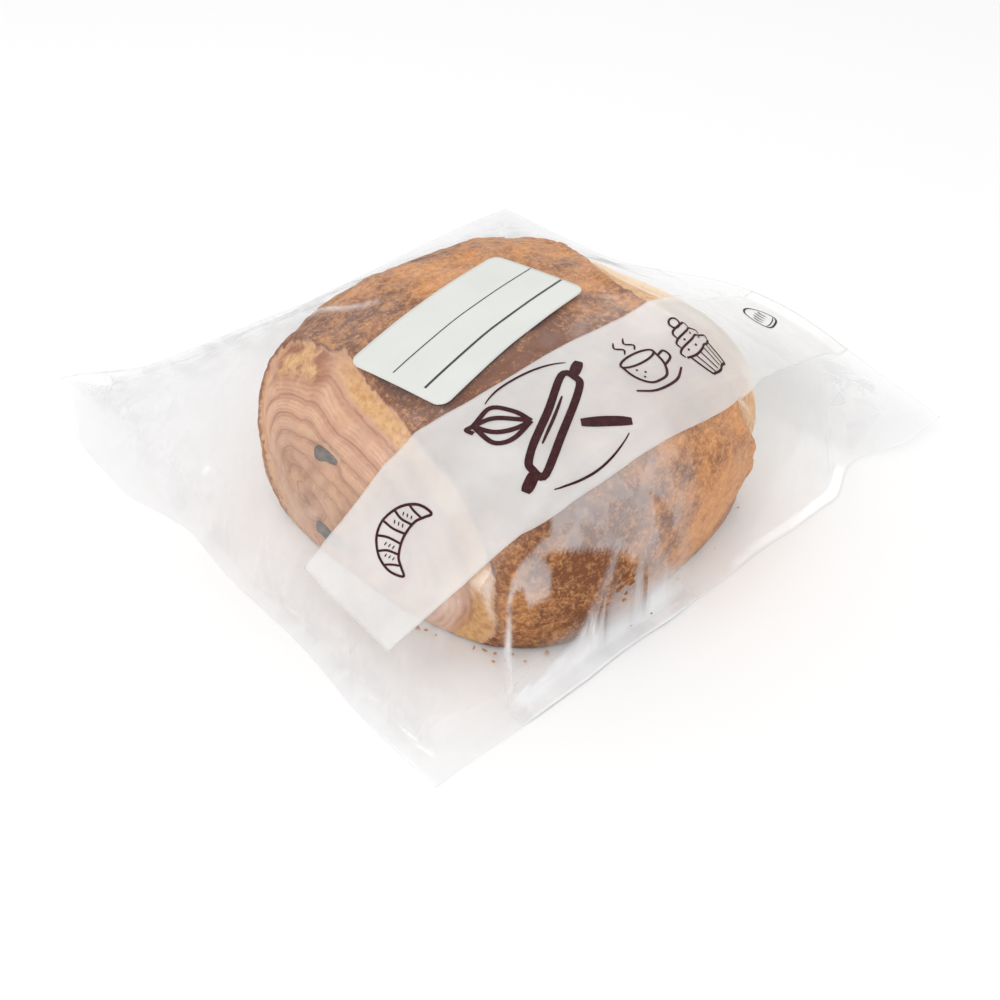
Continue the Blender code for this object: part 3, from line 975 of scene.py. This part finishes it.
def film_piece(place, haze, shade, settings):
    """Closes the pouch: the drawn upper skin and, below, a skin that lies on the table."""
    bm = bmesh.new()
    column = bm.verts.layers.int.new("column")
    row = bm.verts.layers.int.new("row")
    veil = bm.verts.layers.float.new("veil")
    # The fold layer carries the painted shade of the crumpled facets
    fold = bm.verts.layers.float.new("fold")
    bmesh.ops.create_grid(bm, x_segments=settings.cells, y_segments=settings.cells, size=1.0)
    for vert in bm.verts:
        vert[column] = round((vert.co.x + 1) / 2 * settings.cells)
        vert[row] = round((vert.co.y + 1) / 2 * settings.cells)
        vert[veil] = haze[vert[column], vert[row]]
        vert[fold] = shade[vert[column], vert[row]]
    x, y = bag_grid(settings.cells)
    sealed = seam_height(x, y) + FILM_BASE
    made = bmesh.ops.extrude_face_region(bm, geom=bm.faces[:])
    lower = [item for item in made["geom"] if isinstance(item, bmesh.types.BMVert)]
    below = set(lower)
    for vert in bm.verts:
        at = vert[column], vert[row]
        vert.co = (x[at], y[at], sealed[at]) if vert in below else place[at]
        if vert in below:
            vert[veil] = settings.slack * 0.5
    bmesh.ops.recalc_face_normals(bm, faces=bm.faces[:])
    piece = new_object("film", bm, film_material(settings))
    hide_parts("bag")


def film_material(settings):
    """Clear film: glossy, softly rippled, hazier where it stands off the pastry, with painted shade greying
    some crumpled facets in place of darker reflections.
    """
    shader = Shader("clear_film")
    fine = shader.noise(140.0, 3.0, 0.55, 0.4)
    soft = shader.noise(42.0, 3.0, 0.5)
    alpha = shader.times(shader.attribute("veil"), shader.spread(soft, 0.35, 0.65, 0.85, 1.15))
    # Painted shade: the fold attribute greys crumpled facets in place of darker reflections
    color = shader.mix(shader.attribute("fold"), tuple(settings.color), tuple(settings.fold_shade_color))
    return shader.finish(Base_Color=color, Roughness=0.16, Alpha=alpha, IOR=2.0,
                         Normal=shader.bump(fine, 0.22, 0.0006), Specular_IOR_Level=0.5)


# The band and its print


def sheet(name, x, y, z, thickness, material):
    """A thin closed sheet over a grid of places, with its lower face a thickness below."""
    columns, rows = x.shape[0] - 1, x.shape[1] - 1
    bm = bmesh.new()
    bmesh.ops.create_grid(bm, x_segments=columns, y_segments=rows, size=1.0)
    for vert in bm.verts:
        at = round((vert.co.x + 1) / 2 * columns), round((vert.co.y + 1) / 2 * rows)
        vert.co = (x[at], y[at], z[at])
    made = bmesh.ops.extrude_face_region(bm, geom=bm.faces[:])
    lower = [item for item in made["geom"] if isinstance(item, bmesh.types.BMVert)]
    bmesh.ops.translate(bm, verts=lower, vec=(0, 0, -thickness))
    bmesh.ops.recalc_face_normals(bm, faces=bm.faces[:])
    return new_object(name, bm, material)


def film_object():
    """The film, on which the band and the label lie."""
    film = bpy.data.objects.get("film")
    if film is None:
        raise RuntimeError("The film has to be made before what lies on it.")
    return film


def band_grid():
    """Plan places of a grid of points over the band, from its left end and its front edge."""
    u, v = np.meshgrid(*[np.linspace(0.0, 1.0, count + 1) for count in BAND_CELLS], indexing="ij")
    end = side_edge(np.array(BAND_END_AT))[1] - BAND_END_GAP
    x = BAND_START + (end - BAND_START) * u
    front, back = band_edges(x)
    return x, front + (back - front) * v


def make_band(settings):
    """The thin white band that lies on the film, from near the left seal to the right one."""
    tree = surface_of(film_object())
    x, y = band_grid()
    z = drop(tree, x, y) + BAND_LIFT
    piece = sheet("band_sheet", x, y, z, BAND_THICKNESS, band_material(settings))
    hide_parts("band")


def band_material(settings):
    """Thin milky paper that lets the film show through, faintly uneven, with a satin gloss."""
    shader = Shader("band_paper")
    cloud = shader.noise(60.0, 3.0, 0.5)
    grain = shader.noise(1500.0, 2.0, 0.5)
    tint = tuple(part * 0.94 for part in settings.band_color)
    color = shader.mix(shader.spread(cloud, 0.35, 0.65), tint, settings.band_color)
    alpha = shader.spread(cloud, 0.3, 0.7, 0.36, 0.42)
    return shader.finish(Base_Color=color, Roughness=0.42, Alpha=alpha,
                         Normal=shader.bump(grain, 0.15, 0.0003))


def ink_material(settings):
    """Dark printing ink, a little uneven."""
    shader = Shader("band_ink")
    wear = shader.noise(900.0, 3.0, 0.6)
    lighter = tuple(min(1.0, part * 1.8 + 0.01) for part in settings.ink)
    color = shader.mix(shader.spread(wear, 0.45, 0.75, 0.0, 0.6), settings.ink, lighter)
    return shader.finish(Base_Color=color, Roughness=0.6, Specular_IOR_Level=0.1)


def rounded_label(settings):
    """A flat rounded rectangle of small cells, centred on the origin."""
    bm = bmesh.new()
    bmesh.ops.create_grid(bm, x_segments=1, y_segments=1, size=0.5)
    bmesh.ops.scale(bm, verts=bm.verts[:], vec=(settings.label_length, settings.label_width, 1.0))
    bmesh.ops.bevel(bm, geom=bm.verts[:], offset=LABEL_CORNER, offset_type="OFFSET", segments=6, profile=0.5,
                    affect="VERTICES", material=-1)
    for axis, length in ((0, settings.label_length), (1, settings.label_width)):
        outward = Vector((1, 0, 0)) if axis == 0 else Vector((0, 1, 0))
        cuts = int(length / LABEL_CELL)
        for cut in range(1, cuts):
            geometry = bm.verts[:] + bm.edges[:] + bm.faces[:]
            place = outward * (length * (cut / cuts - 0.5))
            bmesh.ops.bisect_plane(bm, geom=geometry, dist=1e-6, plane_co=place, plane_no=outward)
    return bm


def band_share(x, y):
    """1 under the band and 0 a little way beside it."""
    front, back = band_edges(x)
    along = ramp(x, BAND_START - BAND_FADE, BAND_START)
    return along * ramp(y, front - BAND_FADE, front) * (1 - ramp(y, back, back + BAND_FADE))


def on_label(x, y):
    """Places along and across the label, from its centre."""
    cos, sin = math.cos(LABEL_TURN), math.sin(LABEL_TURN)
    beside_x, beside_y = x - LABEL_CENTRE[0], y - LABEL_CENTRE[1]
    return beside_x * cos + beside_y * sin, beside_y * cos - beside_x * sin


def label_terms(x, y):
    """Terms of a sloping, gently curved surface round the label's centre."""
    along, across = on_label(x.ravel(), y.ravel())
    return np.column_stack((np.ones(along.size), along, across, across**2, along * across, along**2))


def label_patch(x, y, tree):
    """Heights of the flatter patch that the stiff label holds the film to, just over the pastry."""
    under = label_share(x, y) > 0.99
    heights = drop(tree, x[under], y[under])
    terms = label_terms(x[under], y[under])
    shape = np.linalg.lstsq(terms, heights, rcond=None)[0]
    shape[-1] *= LABEL_BOW
    lift = np.percentile(heights - terms @ shape, 80)
    return (label_terms(x, y) @ shape).reshape(x.shape) + lift


def label_share(x, y):
    """1 under the label and 0 a little way beside it."""
    along, across = on_label(x, y)
    past = np.maximum(np.abs(along) - LABEL_HALF_LENGTH, np.abs(across) - LABEL_HALF_WIDTH)
    return 1.0 - ramp(past, 0.0, LABEL_FADE)


def make_label(settings):
    """The white label stuck on top; its two ruled lines are drawn with the print."""
    tree = surface_of(film_object(), bpy.data.objects["band_sheet"])
    bm = rounded_label(settings)
    turn = Matrix.Rotation(LABEL_TURN, 4, "Z")
    bmesh.ops.transform(bm, matrix=Matrix.Translation((*LABEL_CENTRE, 0)) @ turn, verts=bm.verts[:])
    plan = np.array([vert.co[:] for vert in bm.verts])
    heights = drop(tree, plan[:, 0], plan[:, 1])
    terms = label_terms(plan[:, 0], plan[:, 1])
    stiff = terms @ np.linalg.lstsq(terms, heights, rcond=None)[0]
    heights = np.maximum(heights, stiff) + LABEL_LIFT
    for vert, height in zip(bm.verts, heights):
        vert.co.z = height
    for _ in range(LABEL_SMOOTHING):
        inner = [vert for vert in bm.verts if not vert.is_boundary]
        bmesh.ops.smooth_vert(bm, verts=inner, factor=0.5, use_axis_z=True)
    made = bmesh.ops.extrude_face_region(bm, geom=bm.faces[:])
    lower = [item for item in made["geom"] if isinstance(item, bmesh.types.BMVert)]
    bmesh.ops.translate(bm, verts=lower, vec=(0, 0, -LABEL_THICKNESS))
    bmesh.ops.recalc_face_normals(bm, faces=bm.faces[:])
    piece = new_object("label_sheet", bm, label_material(settings))
    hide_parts("label")


def label_material(settings):
    """Coated white label paper."""
    shader = Shader("label_paper")
    fibre = shader.noise(2200.0, 3.0, 0.6)
    cloud = shader.noise(70.0, 2.0, 0.5)
    tint = tuple(part * 0.96 for part in settings.label_color)
    color = shader.mix(shader.spread(cloud, 0.35, 0.65), tint, settings.label_color)
    return shader.finish(Base_Color=color, Roughness=0.60, Normal=shader.bump(fibre, 0.12, 0.0002),
                         Specular_IOR_Level=0.2)


def rule_material(settings):
    """Black thermal print."""
    shader = Shader("label_print")
    wear = shader.noise(1800.0, 2.0, 0.5)
    color = shader.mix(shader.spread(wear, 0.5, 0.8, 0.0, 0.5), settings.rule_color, (0.05, 0.05, 0.055))
    return shader.finish(Base_Color=color, Roughness=0.5)


class Pen:
    """Lays flat ribbons of ink on a sheet's grid, drawn in millimetres along and across the sheet."""

    def __init__(self, x, y, tree):
        place = np.stack((x, y, drop(tree, x, y)), axis=-1)
        self.places = place + grid_normals(*np.moveaxis(place, -1, 0)) * PRINT_LIFT
        middle = self.places[:, x.shape[1] // 2]
        self.along = np.append(0.0, np.linalg.norm(np.diff(middle, axis=0), axis=1).cumsum()) * 1000
        across = np.linalg.norm(np.diff(self.places, axis=1), axis=2).cumsum(axis=1) * 1000
        self.across = np.pad(across, ((0, 0), (1, 0))) - across.mean(axis=0)[x.shape[1] // 2 - 1]
        self.bm = bmesh.new()
        self.at(0.0, 0.0, 0.0)

    def at(self, along, across, turn, scale=1.0):
        """Moves the drawing's centre and turns and scales it."""
        self.origin = Vector((along, across))
        self.turn = Matrix.Rotation(turn, 2) * scale

    def stroke(self, points, width, closed=False, taper=0.0):
        """One ribbon along a smooth line through the points; sizes are in millimetres."""
        path = smooth_line(points, closed)
        count = len(path) - 1
        made = bmesh.ops.create_grid(self.bm, x_segments=count, y_segments=1, size=1.0)
        for vert in made["verts"]:
            step = round((vert.co.x + 1) / 2 * count)
            before = path[step - 1] if step > 0 else path[-2] if closed else path[0]
            after = path[step + 1] if step < count else path[1] if closed else path[-1]
            ahead = (after - before).normalized()
            side = Vector((-ahead.y, ahead.x)) * math.copysign(0.5 * width, vert.co.y)
            if taper and not closed:
                side *= 1.0 - taper * abs(2 * step / count - 1.0) ** 3
            self.place(vert, path[step] + side)
        if closed:
            bmesh.ops.remove_doubles(self.bm, verts=made["verts"], dist=0.00001)

    def dot(self, x, y, radius):
        """A round filled spot."""
        made = bmesh.ops.create_circle(self.bm, cap_ends=True, radius=radius, segments=14)
        for vert in made["verts"]:
            self.place(vert, Vector((x + vert.co.x, y + vert.co.y)))

    def place(self, vert, point):
        """Puts one point of the drawing on the sheet."""
        along, across = self.origin + self.turn @ Vector(point[:2])
        column = np.interp(along, self.along, np.arange(len(self.along)))
        first = min(int(column), len(self.along) - 2)
        ends = []
        for line in (first, first + 1):
            row = np.interp(across, self.across[line], np.arange(self.across.shape[1]))
            below = min(int(row), self.across.shape[1] - 2)
            ends.append(mix(self.places[line, below], self.places[line, below + 1], row - below))
        vert.co = mix(ends[0], ends[1], column - first)

    def piece(self, name, material, slot):
        """Makes an object of all that was drawn, with its faces upwards."""
        bmesh.ops.recalc_face_normals(self.bm, faces=self.bm.faces[:])
        down = [face for face in self.bm.faces if face.normal.z < 0]
        bmesh.ops.reverse_faces(self.bm, faces=down)
        return new_object(name, self.bm, material)


def smooth_line(points, closed):
    """A Catmull-Rom line through the points."""
    rows = [Vector(point) for point in points]
    if closed:
        rows = [rows[-1], *rows, rows[0], rows[1]]
    else:
        rows = [rows[0] * 2 - rows[1], *rows, rows[-1] * 2 - rows[-2]]
    path = []
    for first, second, third, fourth in zip(rows, rows[1:], rows[2:], rows[3:]):
        for step in range(LINE_STEPS):
            t = step / LINE_STEPS
            bend = (2 * first - 5 * second + 4 * third - fourth) * t**2
            twist = (3 * second - first - 3 * third + fourth) * t**3
            path.append(0.5 * (2 * second + (third - first) * t + bend + twist))
    path.append(rows[-2].copy())
    return path


def ring(radius_x, radius_y, count, start=0.0, stop=2 * math.pi, centre=(0.0, 0.0)):
    """Points round an ellipse or a part of one."""
    whole = abs(stop - start) > 6.28
    steps = count if whole else count - 1
    angles = [start + (stop - start) * step / steps for step in range(count)]
    return [(centre[0] + radius_x * math.cos(angle), centre[1] + radius_y * math.sin(angle))
            for angle in angles]


def draw_cupcake(pen):
    """A cupcake: pleated case, three swirls of icing and a berry."""
    pen.stroke([(-5.0, -0.8), (-4.3, -5.0), (-3.6, -7.8)], 0.60)
    pen.stroke([(5.0, -0.8), (4.3, -5.0), (3.6, -7.8)], 0.60)
    pen.stroke([(-3.6, -7.8), (0.0, -8.5), (3.6, -7.8)], 0.75)
    for pleat in (-2.7, -0.9, 0.9, 2.7):
        pen.stroke([(pleat * 1.15, -1.3), (pleat * 0.85, -7.7)], 0.40)
    pen.stroke([(-6.0, -0.6), (-3.0, -1.4), (0.0, -1.5), (3.0, -1.4), (6.0, -0.6)], 0.70)
    for level, wide in ((0.4, 6.3), (2.9, 4.8), (5.3, 3.1)):
        pen.stroke([(-wide, level - 0.7), (-wide + 0.1, level + 1.0), (-wide * 0.5, level + 1.8),
                    (wide * 0.4, level + 1.5), (wide, level + 0.6), (wide - 0.3, level - 0.7)], 0.65,
                   taper=0.4)
    pen.stroke(ring(1.5, 1.5, 12, centre=(0.3, 8.3)), 0.60, closed=True)
    for x, y in ((-3.4, 0.8), (-0.3, 0.4), (3.1, 1.0), (-1.7, 3.4), (1.4, 3.4)):
        pen.dot(x, y, 0.36)


def draw_croissant(pen):
    """A crescent roll with its folds hatched."""
    pen.stroke([(-8.2, -4.6), (-8.6, -1.0), (-6.6, 2.8), (-3.2, 5.2), (0.0, 5.9), (3.2, 5.2), (6.6, 2.8),
                (8.6, -1.0), (8.2, -4.6), (6.6, -3.4), (4.4, -1.6), (0.0, -0.8), (-4.4, -1.6),
                (-6.6, -3.4)], 0.65, closed=True)
    for side in (-1, 1):
        pen.stroke([(side * 6.2, -2.9), (side * 6.9, -0.6), (side * 7.6, 0.9)], 0.55)
        pen.stroke([(side * 3.9, -1.4), (side * 4.1, 1.6), (side * 5.2, 3.9)], 0.60)
        pen.stroke([(side * 1.3, -0.9), (side * 1.2, 2.6), (side * 1.9, 5.6)], 0.60)
        for step in (0.0, 1.1, 2.2):
            pen.stroke([(side * 2.3, 0.4 + step), (side * 3.3, 0.7 + step)], 0.34, taper=0.6)
            pen.stroke([(side * 4.9, -0.7 + step), (side * 5.8, -0.5 + step)], 0.34, taper=0.6)


def draw_cup(pen):
    """A cup on its saucer with two lines of steam."""
    pen.stroke(ring(5.2, 1.5, 18, centre=(0.0, 2.6)), 0.60, closed=True)
    pen.stroke([(-5.2, 2.6), (-4.8, -1.2), (-2.8, -4.2), (0.0, -4.8), (2.8, -4.2), (4.8, -1.2),
                (5.2, 2.6)], 0.65)
    pen.stroke([(5.0, 1.0), (7.4, 1.4), (7.6, -0.8), (4.4, -2.0)], 0.65)
    pen.stroke([(-7.6, -4.4), (-4.0, -6.4), (0.0, -6.9), (4.0, -6.4), (7.6, -4.4)], 0.70, taper=0.3)
    for side in (-1.6, 1.6):
        pen.stroke([(side, 4.9), (side + 1.0, 6.2), (side - 0.6, 7.6), (side + 0.6, 9.2)], 0.55, taper=0.5)
    for x, y in ((-2.8, 0.0), (-1.4, -1.4), (-2.6, -2.4)):
        pen.dot(x, y, 0.30)


def draw_tools(pen):
    """The large motif: a rolling pin crossed with a whisk, in bold strokes, and an arc over and under it."""
    pen.stroke([(-10.0, -8.2), (0.0, -2.6), (10.0, 3.0), (11.6, 5.6), (9.8, 8.2), (0.0, 2.6), (-10.0, -3.0),
                (-11.6, -5.6)], 1.80, closed=True)
    pen.stroke([(-11.6, -6.4), (-15.8, -8.8)], 2.6, taper=0.35)
    pen.stroke([(11.6, 6.4), (15.8, 8.8)], 2.6, taper=0.35)
    pen.stroke([(-6.0, -2.6), (0.0, 0.7), (5.6, 3.9)], 0.75, taper=0.5)
    pen.stroke([(4.0, -3.6), (9.4, -7.4), (13.2, -10.2)], 2.7, taper=0.3)
    for wide in (-4.2, -1.6, 1.6, 4.2):
        pen.stroke([(-3.8, 3.2), (-7.0 + wide * 0.5, 5.0 + wide * 0.62),
                    (-10.6 + wide * 0.62, 8.0 + wide * 0.85), (-13.6, 10.4)], 1.15)
    pen.stroke([(-13.6, 10.4), (-15.2, 10.4), (-14.7, 8.8)], 1.1)
    pen.stroke(ring(19.0, 14.4, 12, 0.80, 2.00), 0.60, taper=0.6)
    pen.stroke(ring(19.0, 14.4, 12, 4.10, 5.30), 0.60, taper=0.6)


def draw_loaf(pen):
    """A round loaf with slashes across its crust."""
    pen.stroke([(-7.4, -2.6), (-7.0, 1.4), (-4.2, 4.6), (0.0, 5.6), (4.2, 4.6), (7.0, 1.4), (7.4, -2.6),
                (5.0, -4.4), (0.0, -4.9), (-5.0, -4.4)], 0.70, closed=True)
    for place in (-4.4, -1.6, 1.2, 4.0):
        pen.stroke([(place - 0.6, -1.6), (place - 0.1, 0.8), (place + 1.2, 2.7 - abs(place) * 0.2)], 0.85,
                   taper=0.8)
    pen.stroke([(-6.6, -2.9), (-2.8, -3.6), (2.8, -3.6), (6.6, -2.9)], 0.40, taper=0.5)


def make_print(settings):
    """The band's line drawings and the label's ruled lines."""
    pen = Pen(*band_grid(), surface_of(bpy.data.objects["band_sheet"]))
    for draw, along, across, turn, scale in MOTIFS:
        pen.at(along, across, turn, scale)
        draw(pen)
    pen.piece("band_print", ink_material(settings), "band_paper")

    reach_x = settings.label_length / 2 - 0.0004
    reach_y = settings.label_width / 2 - LABEL_CORNER - 0.0002
    u, v = np.meshgrid(np.linspace(-reach_x, reach_x, 61), np.linspace(-reach_y, reach_y, 31), indexing="ij")
    cos, sin = math.cos(LABEL_TURN), math.sin(LABEL_TURN)
    pen = Pen(LABEL_CENTRE[0] + u * cos - v * sin, LABEL_CENTRE[1] + u * sin + v * cos,
              surface_of(bpy.data.objects["label_sheet"]))
    middle = pen.along[-1] / 2
    pen.at(middle, 0.0, 0.0)
    for place, width in LABEL_RULES:
        pen.stroke([(RULE_INSET - middle, place), (0.0, place), (middle, place)], width)
    pen.piece("label_rules", rule_material(settings), "label_paper")


# The label's ruled lines, in millimetres: how far they start from its left edge, place across and width

RULE_INSET = 2.2
LABEL_RULES = ((2.4, 0.32), (-7.0, 0.60))

# The band's motifs: drawing, places along and across in millimetres, turn and scale

MOTIFS = (
    (draw_croissant, 24.0, 0.0, 0.35, 1.0),
    (draw_tools, 67.0, -0.5, 0.05, 1.0),
    (draw_cup, 95.0, 0.5, 0.05, 1.0),
    (draw_cupcake, 112.0, -1.0, 0.10, 0.95),
    (draw_loaf, 188.0, 4.0, 0.30, 1.0),
)


# Floor, light and camera


def make_floor(settings):
    """A wide plain floor under the bag."""
    bm = bmesh.new()
    bmesh.ops.create_grid(bm, x_segments=8, y_segments=8, size=1.6)
    bmesh.ops.translate(bm, verts=bm.verts[:], vec=(0, 0, -0.0002))
    mesh = bpy.data.meshes.new("floor")
    bm.to_mesh(mesh)
    bm.free()
    floor = bpy.data.objects.new("floor", mesh)
    bpy.context.scene.collection.objects.link(floor)
    shader = Shader("floor_paint")
    cloud = shader.noise(9.0, 2.0, 0.5)
    tint = tuple(part * 0.995 for part in settings.floor_color)
    color = shader.mix(cloud, tint, settings.floor_color)
    mesh.materials.append(shader.finish(Base_Color=color, Roughness=0.9, Specular_IOR_Level=0.0))


def area_light(name, place, target, size, power):
    """A square soft light that looks at a target."""
    light = bpy.data.lights.new(name, "AREA")
    light.size = size
    light.energy = power
    lamp = bpy.data.objects.new(name, light)
    lamp.location = place
    lamp.rotation_euler = (Vector(target) - Vector(place)).to_track_quat("-Z", "Y").to_euler()
    bpy.context.scene.collection.objects.link(lamp)
    return lamp


def make_light(settings):
    """Even white surroundings and soft lights over the bag."""
    world = bpy.data.worlds.new("studio")
    world.use_nodes = True
    world.node_tree.nodes["Background"].inputs["Color"].default_value = (1.0, 1.0, 1.0, 1.0)
    world.node_tree.nodes["Background"].inputs["Strength"].default_value = settings.sky
    bpy.context.scene.world = world
    bpy.context.scene.view_settings.view_transform = "Standard"
    middle = (0.0, 0.0, 0.02)
    area_light("key", (-0.35, 0.10, 0.80), middle, 0.50, settings.key)
    area_light("front", (-0.55, -0.65, 0.55), middle, 0.50, settings.key)
    for name, place, size, power in GLOSS_LIGHTS:
        area_light(name, place, middle, size, power).visible_diffuse = False


def make_camera():
    """The photograph's camera."""
    camera = bpy.data.cameras.new("camera")
    camera.sensor_width = SENSOR_MM
    camera.lens = FOCAL_PIXELS / IMAGE_SIZE * SENSOR_MM
    camera.clip_start = 0.01
    viewer = bpy.data.objects.new("camera", camera)
    viewer.location = CAMERA_PLACE
    level = math.cos(CAMERA_ELEVATION)
    look = Vector((-math.sin(CAMERA_AZIMUTH) * level, math.cos(CAMERA_AZIMUTH) * level,
                   -math.sin(CAMERA_ELEVATION)))
    viewer.rotation_euler = look.to_track_quat("-Z", "Y").to_euler()
    bpy.context.scene.collection.objects.link(viewer)
    bpy.context.scene.camera = viewer


# The add-on's operators, panel and registration


class PASTRY_OT_roll(bpy.types.Operator):
    """Make the pastry, its chocolate sticks and its crumbs"""

    bl_idname = "pastry.roll"
    bl_label = "Pastry"

    def execute(self, context):
        settings = context.scene.pastry_roll
        make_pastry(settings)
        make_sticks(settings)
        make_crumbs(settings)
        return {"FINISHED"}


class PASTRY_OT_film(bpy.types.Operator):
    """Make the clear film bag round the pastry"""

    bl_idname = "pastry.film"
    bl_label = "Film bag"

    def execute(self, context):
        make_film(context.scene.pastry_film)
        return {"FINISHED"}


class PASTRY_OT_band(bpy.types.Operator):
    """Make the printed band"""

    bl_idname = "pastry.band"
    bl_label = "Band"

    def execute(self, context):
        make_band(context.scene.pastry_print)
        return {"FINISHED"}


class PASTRY_OT_label(bpy.types.Operator):
    """Make the label"""

    bl_idname = "pastry.label"
    bl_label = "Label"

    def execute(self, context):
        make_label(context.scene.pastry_print)
        return {"FINISHED"}


class PASTRY_OT_print(bpy.types.Operator):
    """Draw the band's motifs and the label's ruled lines"""

    bl_idname = "pastry.print"
    bl_label = "Print"

    def execute(self, context):
        make_print(context.scene.pastry_print)
        return {"FINISHED"}


class PASTRY_OT_stage(bpy.types.Operator):
    """Make the floor, the light and the camera"""

    bl_idname = "pastry.stage"
    bl_label = "Stage"

    def execute(self, context):
        settings = context.scene.pastry_stage
        make_floor(settings)
        make_light(settings)
        make_camera()
        return {"FINISHED"}


class PASTRY_PT_panel(bpy.types.Panel):
    """Lists the pastry's operators in the sidebar"""

    bl_idname = "PASTRY_PT_panel"
    bl_label = "Bagged pastry"
    bl_space_type = "VIEW_3D"
    bl_region_type = "UI"
    bl_category = "Pastry"

    def draw(self, context):
        for operator in OPERATORS:
            self.layout.operator(operator.bl_idname)


SETTINGS = {"pastry_roll": PastrySettings, "pastry_film": FilmSettings, "pastry_print": PrintSettings,
            "pastry_stage": StageSettings}
OPERATORS = (PASTRY_OT_stage, PASTRY_OT_roll, PASTRY_OT_film, PASTRY_OT_band, PASTRY_OT_label,
             PASTRY_OT_print)


def register():
    for made in (*SETTINGS.values(), *OPERATORS, PASTRY_PT_panel):
        bpy.utils.register_class(made)
    for name, group in SETTINGS.items():
        setattr(bpy.types.Scene, name, bpy.props.PointerProperty(type=group))


def unregister():
    for name in SETTINGS:
        delattr(bpy.types.Scene, name)
    for made in (PASTRY_PT_panel, *reversed(OPERATORS), *SETTINGS.values()):
        bpy.utils.unregister_class(made)


def main():
    register()
    bpy.ops.pastry.stage()
    bpy.ops.pastry.roll()
    bpy.ops.pastry.film()
    bpy.ops.pastry.band()
    bpy.ops.pastry.label()
    bpy.ops.pastry.print()


if __name__ == "__main__":
    main()
